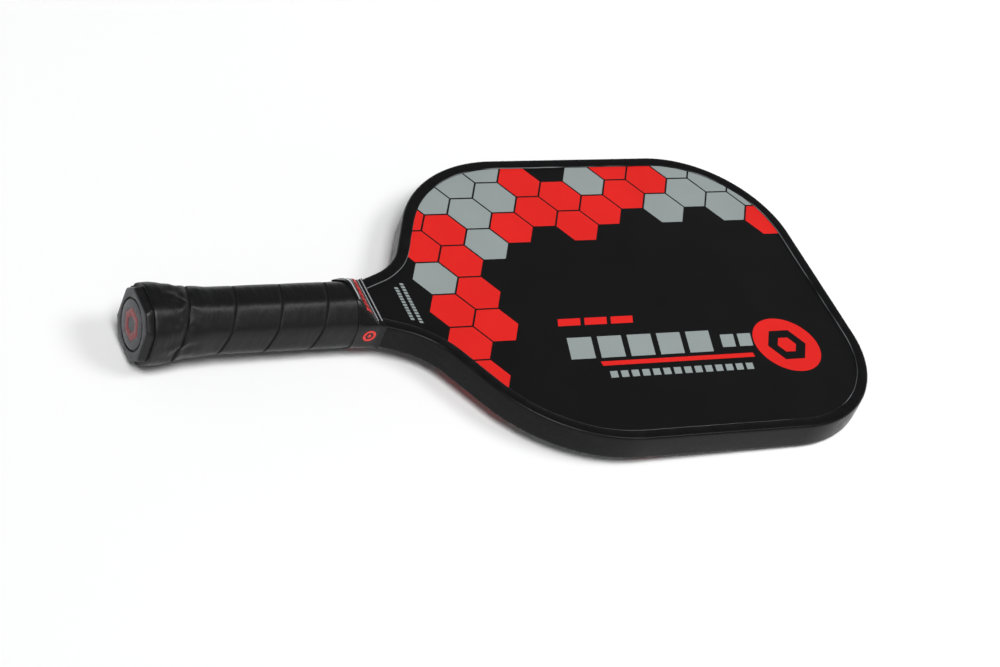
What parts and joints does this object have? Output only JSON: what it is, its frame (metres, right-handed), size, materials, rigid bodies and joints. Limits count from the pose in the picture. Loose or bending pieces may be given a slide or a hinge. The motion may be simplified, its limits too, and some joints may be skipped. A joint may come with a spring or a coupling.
{
  "type": "pickleball paddle",
  "caption": "Rounded square paddle with a honeycomb core, printed faces, a plastic edge guard and a short octagonal handle with a wrapped grip.",
  "frame": {"origin": "middle of the bounding box, on the handle's centre line and in the middle plane of the blade", "axes": "+X from the butt to the tip along the handle, +Y across the blade, +Z out of the front face"},
  "size_m": [0.4, 0.205, 0.0384],
  "materials": {
    "core_plastic": "translucent polypropylene honeycomb",
    "face_laminate": "woven fibre laminate, satin",
    "black_film": "satin film with a fine grain",
    "red_print": "satin ink",
    "grey_print": "satin ink",
    "guard_plastic": "satin extruded plastic",
    "adhesive": "pale tacky film",
    "handle_foam": "dense moulded foam",
    "cap_plastic": "moulded, satin gloss",
    "disc_plastic": "satin grey",
    "staple_steel": "galvanised wire",
    "cushion_felt": "foamed backing",
    "grip_skin": "synthetic leather, soft sheen",
    "tape_vinyl": "glossy vinyl tape",
    "silver_print": "silver foil print"
  },
  "bodies": {
    "root": {"honeycomb_core": "core_plastic", "front_face_sheet": "face_laminate", "back_face_sheet": "face_laminate", "front_film": "black_film", "back_film": "black_film", "front_red_hexagons": "red_print", "back_red_hexagons": "red_print", "front_grey_hexagons": "grey_print", "back_grey_hexagons": "grey_print", "front_red_marks": "red_print", "back_red_marks": "red_print", "front_grey_marks": "grey_print", "back_grey_marks": "grey_print", "edge_guard": "guard_plastic", "guard_adhesive": "adhesive", "front_handle_pallet": "handle_foam", "back_handle_pallet": "handle_foam", "butt_cap": "cap_plastic", "cap_disc": "disc_plastic", "cap_emblem": "red_print", "cap_staples": "staple_steel", "grip_adhesive": "adhesive", "grip_cushion": "cushion_felt", "grip_wrap": "grip_skin", "grip_staple": "staple_steel", "finishing_tape": "tape_vinyl", "tape_silver_lines": "silver_print", "tape_red_marks": "red_print"}
  },
  "joints": []
}
